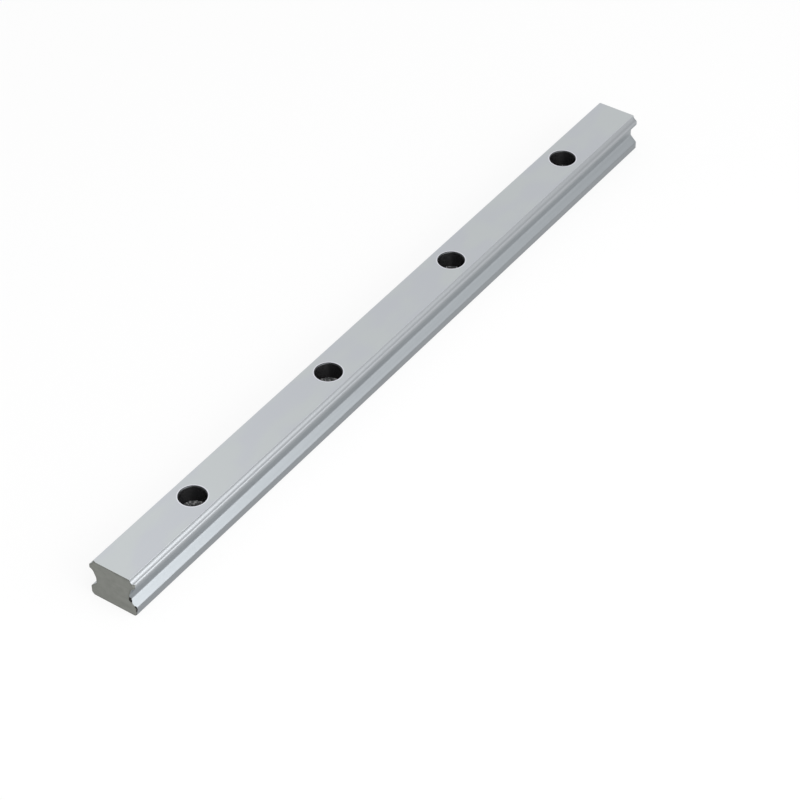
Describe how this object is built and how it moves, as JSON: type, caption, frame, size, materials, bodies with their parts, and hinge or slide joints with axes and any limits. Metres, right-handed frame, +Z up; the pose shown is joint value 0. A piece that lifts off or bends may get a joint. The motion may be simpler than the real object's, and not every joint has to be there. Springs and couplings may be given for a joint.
{
  "type": "linear guide rail",
  "caption": "Low-profile steel rail for a linear ball guide, with grooved sides and counterbored screw holes.",
  "frame": {"origin": "middle of the base, halfway along the rail", "axes": "+X along the rail, +Y across it, +Z up through the screw holes"},
  "size_m": [0.245, 0.015, 0.0125],
  "materials": {
    "rail_steel": "fine ground along the bar, with dull cut ends"
  },
  "bodies": {
    "root": {"guide_rail": "rail_steel"}
  },
  "joints": []
}
